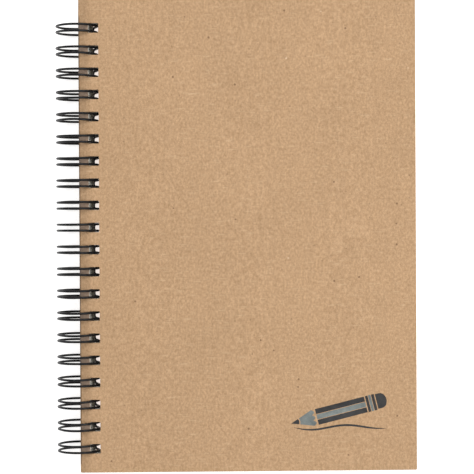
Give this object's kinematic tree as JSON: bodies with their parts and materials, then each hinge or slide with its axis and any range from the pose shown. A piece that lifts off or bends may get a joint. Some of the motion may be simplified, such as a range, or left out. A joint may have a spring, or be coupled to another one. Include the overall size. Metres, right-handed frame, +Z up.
{
  "type": "wire-bound sketchbook",
  "caption": "Upright wire-bound sketchbook: kraft board covers and heavy leaves, punched with a row of holes down the left side, on a closed black twin-loop wire.",
  "frame": {"origin": "centre of the closed book's footprint, rings included, on the surface it lies on", "axes": "+X from the wire spine to the fore-edge, +Y to the head of the page, +Z up out of the front cover"},
  "size_m": [0.1382, 0.181, 0.0165],
  "materials": {
    "kraft_board": "matt, unbleached, flecked",
    "sketch_paper": "matt",
    "coated_wire": "satin black coating"
  },
  "bodies": {
    "base": {"back_cover": "kraft_board", "twin_loop_wire": "coated_wire"},
    "leaf_01": {"leaf_01": "sketch_paper"},
    "leaf_02": {"leaf_02": "sketch_paper"},
    "leaf_03": {"leaf_03": "sketch_paper"},
    "leaf_04": {"leaf_04": "sketch_paper"},
    "leaf_05": {"leaf_05": "sketch_paper"},
    "leaf_06": {"leaf_06": "sketch_paper"},
    "leaf_07": {"leaf_07": "sketch_paper"},
    "leaf_08": {"leaf_08": "sketch_paper"},
    "leaf_09": {"leaf_09": "sketch_paper"},
    "leaf_10": {"leaf_10": "sketch_paper"},
    "leaf_11": {"leaf_11": "sketch_paper"},
    "leaf_12": {"leaf_12": "sketch_paper"},
    "leaf_13": {"leaf_13": "sketch_paper"},
    "leaf_14": {"leaf_14": "sketch_paper"},
    "leaf_15": {"leaf_15": "sketch_paper"},
    "leaf_16": {"leaf_16": "sketch_paper"},
    "leaf_17": {"leaf_17": "sketch_paper"},
    "leaf_18": {"leaf_18": "sketch_paper"},
    "leaf_19": {"leaf_19": "sketch_paper"},
    "leaf_20": {"leaf_20": "sketch_paper"},
    "front_cover": {"front_cover": "kraft_board"}
  },
  "joints": [
    {"name": "leaf_20_turn", "type": "hinge", "parent": "base", "child": "leaf_20", "pos_m": [-0.0609, 0, 0.00825], "axis": [0, -1, 0], "range_deg": [0, 180]},
    {"name": "leaf_19_turn", "type": "hinge", "parent": "leaf_20", "child": "leaf_19", "pos_m": [-0.0609, 0, 0.00825], "axis": [0, -1, 0], "range_deg": [0, 180]},
    {"name": "leaf_18_turn", "type": "hinge", "parent": "leaf_19", "child": "leaf_18", "pos_m": [-0.0609, 0, 0.00825], "axis": [0, -1, 0], "range_deg": [0, 180]},
    {"name": "leaf_17_turn", "type": "hinge", "parent": "leaf_18", "child": "leaf_17", "pos_m": [-0.0609, 0, 0.00825], "axis": [0, -1, 0], "range_deg": [0, 180]},
    {"name": "leaf_16_turn", "type": "hinge", "parent": "leaf_17", "child": "leaf_16", "pos_m": [-0.0609, 0, 0.00825], "axis": [0, -1, 0], "range_deg": [0, 180]},
    {"name": "leaf_15_turn", "type": "hinge", "parent": "leaf_16", "child": "leaf_15", "pos_m": [-0.0609, 0, 0.00825], "axis": [0, -1, 0], "range_deg": [0, 180]},
    {"name": "leaf_14_turn", "type": "hinge", "parent": "leaf_15", "child": "leaf_14", "pos_m": [-0.0609, 0, 0.00825], "axis": [0, -1, 0], "range_deg": [0, 180]},
    {"name": "leaf_13_turn", "type": "hinge", "parent": "leaf_14", "child": "leaf_13", "pos_m": [-0.0609, 0, 0.00825], "axis": [0, -1, 0], "range_deg": [0, 180]},
    {"name": "leaf_12_turn", "type": "hinge", "parent": "leaf_13", "child": "leaf_12", "pos_m": [-0.0609, 0, 0.00825], "axis": [0, -1, 0], "range_deg": [0, 180]},
    {"name": "leaf_11_turn", "type": "hinge", "parent": "leaf_12", "child": "leaf_11", "pos_m": [-0.0609, 0, 0.00825], "axis": [0, -1, 0], "range_deg": [0, 180]},
    {"name": "leaf_10_turn", "type": "hinge", "parent": "leaf_11", "child": "leaf_10", "pos_m": [-0.0609, 0, 0.00825], "axis": [0, -1, 0], "range_deg": [0, 180]},
    {"name": "leaf_09_turn", "type": "hinge", "parent": "leaf_10", "child": "leaf_09", "pos_m": [-0.0609, 0, 0.00825], "axis": [0, -1, 0], "range_deg": [0, 180]},
    {"name": "leaf_08_turn", "type": "hinge", "parent": "leaf_09", "child": "leaf_08", "pos_m": [-0.0609, 0, 0.00825], "axis": [0, -1, 0], "range_deg": [0, 180]},
    {"name": "leaf_07_turn", "type": "hinge", "parent": "leaf_08", "child": "leaf_07", "pos_m": [-0.0609, 0, 0.00825], "axis": [0, -1, 0], "range_deg": [0, 180]},
    {"name": "leaf_06_turn", "type": "hinge", "parent": "leaf_07", "child": "leaf_06", "pos_m": [-0.0609, 0, 0.00825], "axis": [0, -1, 0], "range_deg": [0, 180]},
    {"name": "leaf_05_turn", "type": "hinge", "parent": "leaf_06", "child": "leaf_05", "pos_m": [-0.0609, 0, 0.00825], "axis": [0, -1, 0], "range_deg": [0, 180]},
    {"name": "leaf_04_turn", "type": "hinge", "parent": "leaf_05", "child": "leaf_04", "pos_m": [-0.0609, 0, 0.00825], "axis": [0, -1, 0], "range_deg": [0, 180]},
    {"name": "leaf_03_turn", "type": "hinge", "parent": "leaf_04", "child": "leaf_03", "pos_m": [-0.0609, 0, 0.00825], "axis": [0, -1, 0], "range_deg": [0, 180]},
    {"name": "leaf_02_turn", "type": "hinge", "parent": "leaf_03", "child": "leaf_02", "pos_m": [-0.0609, 0, 0.00825], "axis": [0, -1, 0], "range_deg": [0, 180]},
    {"name": "leaf_01_turn", "type": "hinge", "parent": "leaf_02", "child": "leaf_01", "pos_m": [-0.0609, 0, 0.00825], "axis": [0, -1, 0], "range_deg": [0, 180]},
    {"name": "front_cover_turn", "type": "hinge", "parent": "leaf_01", "child": "front_cover", "pos_m": [-0.0609, 0, 0.00825], "axis": [0, -1, 0], "range_deg": [0, 180]}
  ]
}
